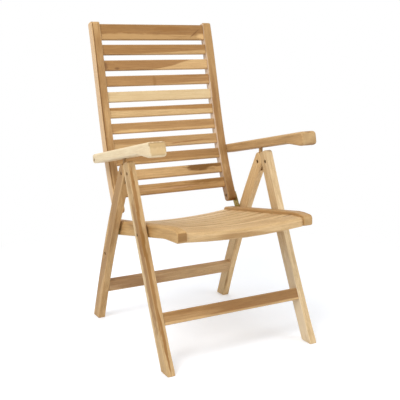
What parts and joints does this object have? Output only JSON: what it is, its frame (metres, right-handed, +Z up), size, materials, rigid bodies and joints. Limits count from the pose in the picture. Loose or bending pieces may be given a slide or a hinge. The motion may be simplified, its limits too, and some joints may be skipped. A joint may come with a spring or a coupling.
{
  "type": "folding armchair",
  "caption": "Folding wooden garden armchair with slatted seat, high slatted reclining back, flat notched arms resting on pegs and brass folding hardware.",
  "frame": {"origin": "on the floor under the middle of the chair's footprint, with the chair open and the back at its most upright", "axes": "+X to the right of someone facing the front of the chair, +Y from the front of the chair to its back, +Z up"},
  "size_m": [0.6092, 0.7112, 1.0852],
  "materials": {
    "teak": "oiled and weathered light, satin",
    "brass": "aged, dull",
    "dark_brass": "dark, tarnished"
  },
  "bodies": {
    "front_frame": {"front_leg_right": "teak", "front_leg_left": "teak", "arm_peg_knuckle_right": "teak", "arm_peg_knuckle_left": "teak", "knuckle_bolt_right": "dark_brass", "knuckle_bolt_left": "dark_brass", "leg_hinge_bolt_right": "dark_brass", "leg_hinge_bolt_left": "dark_brass", "seat_pivot_bolt_right": "dark_brass", "seat_pivot_bolt_left": "dark_brass", "seat_pivot_spacer_right": "brass", "seat_pivot_spacer_left": "brass", "front_stretcher": "teak"},
    "rear_frame": {"rear_leg_right": "teak", "rear_leg_left": "teak", "link_foot_bolt_right": "dark_brass", "link_foot_bolt_left": "dark_brass", "rear_stretcher": "teak"},
    "seat": {"seat_rail_right": "teak", "seat_rail_left": "teak", "back_hinge_plate_right": "brass", "back_hinge_plate_left": "brass", "plate_screw_right": "dark_brass", "plate_screw_left": "dark_brass", "link_pivot_bolt_right": "dark_brass", "link_pivot_bolt_left": "dark_brass", "front_seat_board": "teak", "seat_slat_1": "teak", "seat_slat_2": "teak", "seat_slat_3": "teak", "seat_slat_4": "teak", "seat_slat_5": "teak", "seat_slat_6": "teak", "seat_slat_7": "teak", "seat_slat_8": "teak"},
    "leg_links": {"leg_link_right": "brass", "leg_link_left": "brass"},
    "back_bolts": {"back_pivot_bolt_right": "dark_brass", "back_pivot_bolt_left": "dark_brass"},
    "back": {"back_stile_right": "teak", "back_stile_left": "teak", "back_slat_top": "teak", "back_slat_1": "teak", "back_slat_2": "teak", "back_slat_3": "teak", "back_slat_4": "teak", "back_slat_5": "teak", "back_slat_6": "teak", "back_slat_7": "teak", "back_slat_8": "teak", "back_slat_9": "teak", "back_slat_10": "teak"},
    "arm_bolts": {"arm_pivot_bolt_right": "dark_brass", "arm_pivot_bolt_left": "dark_brass"},
    "right_arm": {"arm_right": "teak"},
    "left_arm": {"arm_left": "teak"}
  },
  "joints": [
    {"name": "leg_fold", "type": "hinge", "parent": "front_frame", "child": "rear_frame", "pos_m": [0, -0.00913, 0.58], "axis": [-1, 0, 0], "range_deg": [0, 49]},
    {"name": "seat_fold", "type": "hinge", "parent": "front_frame", "child": "seat", "pos_m": [0, -0.13165, 0.398], "axis": [-1, 0, 0], "range_deg": [0, 66.96]},
    {"name": "link_fold", "type": "hinge", "parent": "seat", "child": "leg_links", "pos_m": [0, 0.10637, 0.363], "axis": [-1, 0, 0], "range_deg": [0, 103.29]},
    {"name": "back_fold", "type": "hinge", "parent": "seat", "child": "back_bolts", "pos_m": [0, 0.14437, 0.432], "axis": [-1, 0, 0], "range_deg": [-59.96, 0]},
    {"name": "recline", "type": "hinge", "parent": "back_bolts", "child": "back", "pos_m": [0, 0.14437, 0.432], "axis": [-1, 0, 0], "range_deg": [0, 24]},
    {"name": "arm_fold", "type": "hinge", "parent": "back", "child": "arm_bolts", "pos_m": [0, 0.21037, 0.599], "axis": [-1, 0, 0], "range_deg": [0, 96.01]},
    {"name": "right_arm_swing", "type": "hinge", "parent": "arm_bolts", "child": "right_arm", "pos_m": [0, 0.21037, 0.599], "axis": [-1, 0, 0], "range_deg": [-17.95, 0]},
    {"name": "left_arm_swing", "type": "hinge", "parent": "arm_bolts", "child": "left_arm", "pos_m": [0, 0.21037, 0.599], "axis": [-1, 0, 0], "range_deg": [-17.95, 0]}
  ],
  "couplings": [
    {"joint": "seat_fold", "follows": "leg_fold", "ratio": 1.3663},
    {"joint": "link_fold", "follows": "leg_fold", "ratio": 2.1077},
    {"joint": "back_fold", "follows": "leg_fold", "ratio": -1.2234},
    {"joint": "arm_fold", "follows": "leg_fold", "ratio": 1.9592},
    {"joint": "right_arm_swing", "follows": "recline", "ratio": -0.7476},
    {"joint": "left_arm_swing", "follows": "recline", "ratio": -0.7476}
  ]
}
